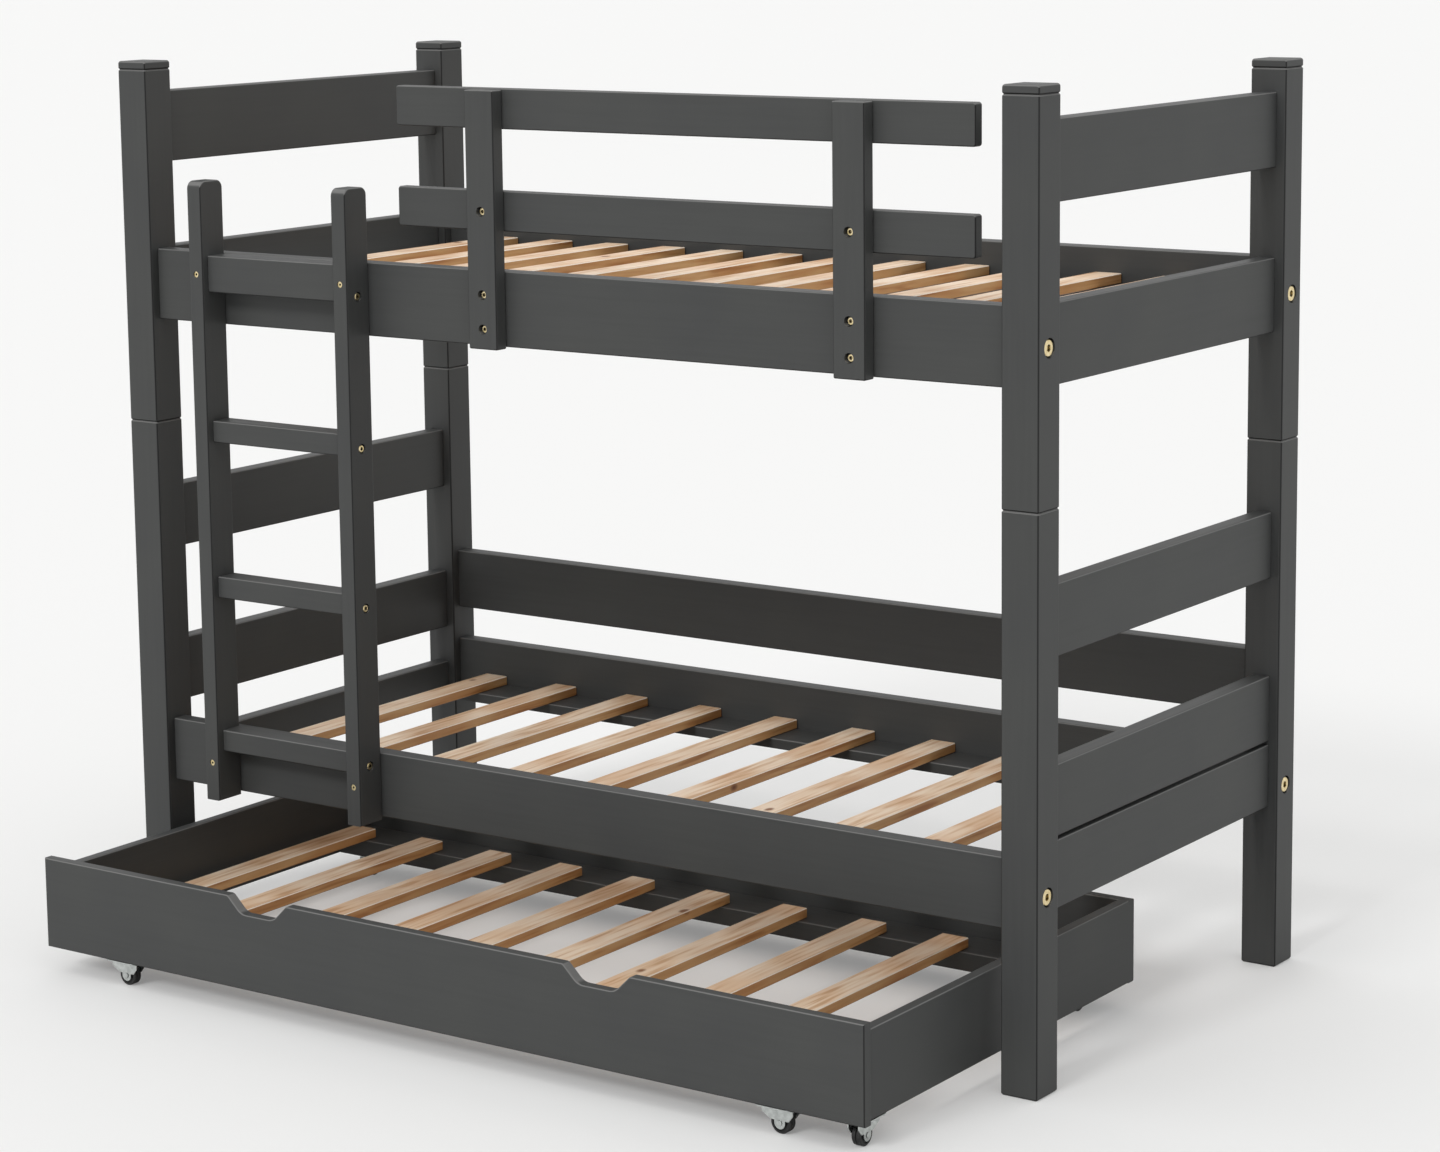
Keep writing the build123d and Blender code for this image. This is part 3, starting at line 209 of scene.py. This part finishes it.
def plated_metal(name, pale, dark, low, high, spacing_mm):
    """Plated steel with a soft uneven sheen, its plating slightly cloudy. Sockets and inner corners
    are darkened with painted shade."""
    material, tree, shader = new_material(name)
    place = add(tree, "ShaderNodeTexCoord").outputs["Object"]
    cloud = add(tree, "ShaderNodeTexNoise", {"Vector": place, "Scale": per_metre(spacing_mm),
                                             "Detail": 3.0}).outputs["Fac"]
    plating = ramp(tree, cloud, [(0.35, dark), (0.65, pale)])
    # Painted shade: the metal darkens where its own surface closes round it.
    openness = add(tree, "ShaderNodeAmbientOcclusion", {"Distance": CORNER_REACH_MM * MM},
                   samples=8, only_local=True).outputs["AO"]
    recess_shade = ramp(tree, openness, [(0.45, PAINTED_RECESS_SHADE), (0.80, "#ffffff")])
    shaded = add(tree, "ShaderNodeMix", {0: 1.0, 6: plating, 7: recess_shade}, data_type="RGBA",
                 blend_type="MULTIPLY")
    tree.links.new(shaded.outputs[2], shader.inputs["Base Color"])
    shader.inputs["Metallic"].default_value = 1.0
    rough = add(tree, "ShaderNodeMapRange", {"Value": cloud, "To Min": low, "To Max": high})
    tree.links.new(rough.outputs["Result"], shader.inputs["Roughness"])
    bump = add(tree, "ShaderNodeBump", {"Height": cloud, "Strength": 0.08, "Distance": 0.1 * MM})
    tree.links.new(bump.outputs["Normal"], shader.inputs["Normal"])
    return material


SPARK_TEXTURE_MM = 1.2


def moulded_nylon(name):
    """Black moulded nylon of the caster wheels: fine spark-eroded texture, dull sheen."""
    material, tree, shader = new_material(name)
    place = add(tree, "ShaderNodeTexCoord").outputs["Object"]
    texture = add(tree, "ShaderNodeTexNoise", {"Vector": place,
                                               "Scale": per_metre(SPARK_TEXTURE_MM),
                                               "Detail": 2.0}).outputs["Fac"]
    tree.links.new(ramp(tree, texture, [(0.3, "#0c0c0c"), (0.7, "#141414")]),
                   shader.inputs["Base Color"])
    rough = add(tree, "ShaderNodeMapRange", {"Value": texture, "To Min": 0.42, "To Max": 0.58})
    tree.links.new(rough.outputs["Result"], shader.inputs["Roughness"])
    bump = add(tree, "ShaderNodeBump", {"Height": texture, "Strength": 0.15, "Distance": 0.1 * MM})
    tree.links.new(bump.outputs["Normal"], shader.inputs["Normal"])
    return material


ALONG_X, ALONG_Y, ALONG_Z = 0, 1, 2
paint_along = [painted_softwood("graphite_satin_paint_along_" + word, axis)
               for axis, word in enumerate(("length", "width", "height"))]
pine_slat = bare_wood("planed_pine_along_slat", ALONG_Y)
# The dowels and post pins lie inside the joints and share the slats' warm straw tone.
beech_dowel = bare_wood("turned_beech_dowel", ALONG_X)
# Warm pale gold heads that catch the light in a ring round a socket darkened by painted shade.
brass = plated_metal("brass_plated_steel", "#f0dfb4", "#d8c490", low=0.26, high=0.38, spacing_mm=6)
# Bright, slightly bluish sheet of the caster forks and plates.
zinc = plated_metal("bright_zinc_plated_sheet", "#d2d6d4", "#b8bcba", low=0.25, high=0.40,
                    spacing_mm=9)
# Greyer and duller, for the nuts and screws at the backs of the boards.
steel = plated_metal("zinc_plated_screw", "#a8a8a4", "#8d8d8a", low=0.30, high=0.42, spacing_mm=4)
nylon = moulded_nylon("black_moulded_nylon")


def finish_of(node):
    """The material of a CAD node, by its piece."""
    if node.endswith("_wheel"):
        return nylon
    if node.endswith("_fork") or node == "caster_plates":
        return zinc
    if node in ("frame_bolts", "ladder_bolts", "guard_bolts", "countersunk_screws"):
        return brass
    if node in ("barrel_nuts", "drawer_screws"):
        return steel
    if node in ("frame_dowels", "post_pins"):
        return beech_dowel
    if node.endswith("_slats"):
        return pine_slat
    if node.endswith(("_post", "_upright", "_stile")):
        return paint_along[ALONG_Z]
    low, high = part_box(node)
    if node in ("drawer_left_side", "drawer_right_side") or high[1] - low[1] > high[0] - low[0]:
        return paint_along[ALONG_Y]
    return paint_along[ALONG_X]


for name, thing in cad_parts.items():
    thing.data.materials.clear()
    thing.data.materials.append(finish_of(name))


# Floor, world and lights

FLOOR_HALF_M = 400.0
# Part of the floor's colour, as the camera sees it, is paper white; the rest takes the shadow.
PAPER_WHITE_SHARE = 0.2
floor_mesh = bpy.data.meshes.new("floor")
corners = [(-FLOOR_HALF_M, -FLOOR_HALF_M, 0), (FLOOR_HALF_M, -FLOOR_HALF_M, 0),
           (FLOOR_HALF_M, FLOOR_HALF_M, 0), (-FLOOR_HALF_M, FLOOR_HALF_M, 0)]
floor_mesh.from_pydata(corners, [], [(0, 1, 2, 3)])
floor = bpy.data.objects.new("floor", floor_mesh)
bpy.context.collection.objects.link(floor)
floor_paint, floor_tree, floor_shader = new_material("pale_studio_floor")
floor_shader.inputs["Base Color"].default_value = linear("#e9e9e8")
floor_shader.inputs["Roughness"].default_value = 0.8
paper_white = add(floor_tree, "ShaderNodeEmission")
paper_white.inputs["Color"].default_value = (1.0, 1.0, 1.0, 1.0)
to_camera = add(floor_tree, "ShaderNodeLightPath").outputs["Is Camera Ray"]
paper_share = add(floor_tree, "ShaderNodeMath", {0: to_camera, 1: PAPER_WHITE_SHARE},
                  operation="MULTIPLY")
lifted = add(floor_tree, "ShaderNodeMixShader", {0: paper_share.outputs["Value"],
                                                 1: floor_shader.outputs["BSDF"],
                                                 2: paper_white.outputs["Emission"]})
floor_tree.links.new(lifted.outputs["Shader"], floor_tree.nodes["Material Output"].inputs["Surface"])
floor_mesh.materials.append(floor_paint)

# A dome that is brighter overhead than at the sides, a little brighter on the left, and plain
# white where it is seen.
DOME_SIDES, DOME_TOP = 0.35, 1.25
DOME_LEFT, DOME_RIGHT = 1.14, 0.84
world = bpy.data.worlds.new("soft_studio_dome")
bpy.context.scene.world = world
world.use_nodes = True
world_tree = world.node_tree
background = world_tree.nodes["Background"]
toward = add(world_tree, "ShaderNodeTexCoord").outputs["Generated"]
aim = add(world_tree, "ShaderNodeSeparateXYZ", {"Vector": toward})
rise = add(world_tree, "ShaderNodeMapRange", {"Value": aim.outputs["Z"], "From Min": 0.0,
                                              "From Max": 1.0, "To Min": DOME_SIDES,
                                              "To Max": DOME_TOP})
lean = add(world_tree, "ShaderNodeMapRange", {"Value": aim.outputs["X"], "From Min": -1.0,
                                              "From Max": 1.0, "To Min": DOME_LEFT,
                                              "To Max": DOME_RIGHT})
dome = add(world_tree, "ShaderNodeMath", {0: rise.outputs["Result"], 1: lean.outputs["Result"]},
           operation="MULTIPLY")
path = add(world_tree, "ShaderNodeLightPath")
direct = add(world_tree, "ShaderNodeMath", {0: path.outputs["Is Camera Ray"],
                                            1: path.outputs["Is Glossy Ray"]}, operation="MAXIMUM")
seen = add(world_tree, "ShaderNodeMix", {0: direct.outputs["Value"], 2: dome.outputs["Value"],
                                         3: 1.0})
background.inputs["Color"].default_value = (1.0, 1.0, 1.0, 1.0)
world_tree.links.new(seen.outputs[0], background.inputs["Strength"])


def soft_sun(name, toward, spread_degrees, strength):
    """An even light from one direction, its shadows soft."""
    lamp = bpy.data.lights.new(name, "SUN")
    lamp.angle = math.radians(spread_degrees)
    lamp.energy = strength
    thing = bpy.data.objects.new(name, lamp)
    thing.rotation_euler = Vector(toward).to_track_quat("Z", "Y").to_euler()
    bpy.context.collection.objects.link(thing)


soft_sun("key_from_front", toward=(-0.06, -1.0, 0.75), spread_degrees=14, strength=0.98)


# Camera, where the photograph was taken from

IMAGE_WIDTH_PX = 1440
FOCAL_PX = 3562.114
SENSOR_MM = 36.0
CAMERA_PLACE_M = (3.610938, -4.924402, 1.883299)
TURNED_LEFT_DEGREES = 34.954
TILTED_DOWN_DEGREES = 8.729
ROLLED_DEGREES = -0.636
# The photograph's uprights are parallel, as with a lens shifted this way.
LENS_SHIFT = -0.1
camera_data = bpy.data.cameras.new("camera")
camera_data.sensor_width = SENSOR_MM
camera_data.lens = FOCAL_PX * SENSOR_MM / IMAGE_WIDTH_PX
camera_data.shift_y = LENS_SHIFT
camera_data.clip_end = 100.0
camera = bpy.data.objects.new("camera", camera_data)
bpy.context.collection.objects.link(camera)
camera.matrix_world = (Matrix.Translation(CAMERA_PLACE_M)
                       @ Matrix.Rotation(math.radians(TURNED_LEFT_DEGREES), 4, "Z")
                       @ Matrix.Rotation(math.radians(90 - TILTED_DOWN_DEGREES), 4, "X")
                       @ Matrix.Rotation(math.radians(ROLLED_DEGREES), 4, "Z"))
bpy.context.scene.camera = camera
bpy.context.scene.view_settings.view_transform = "Standard"
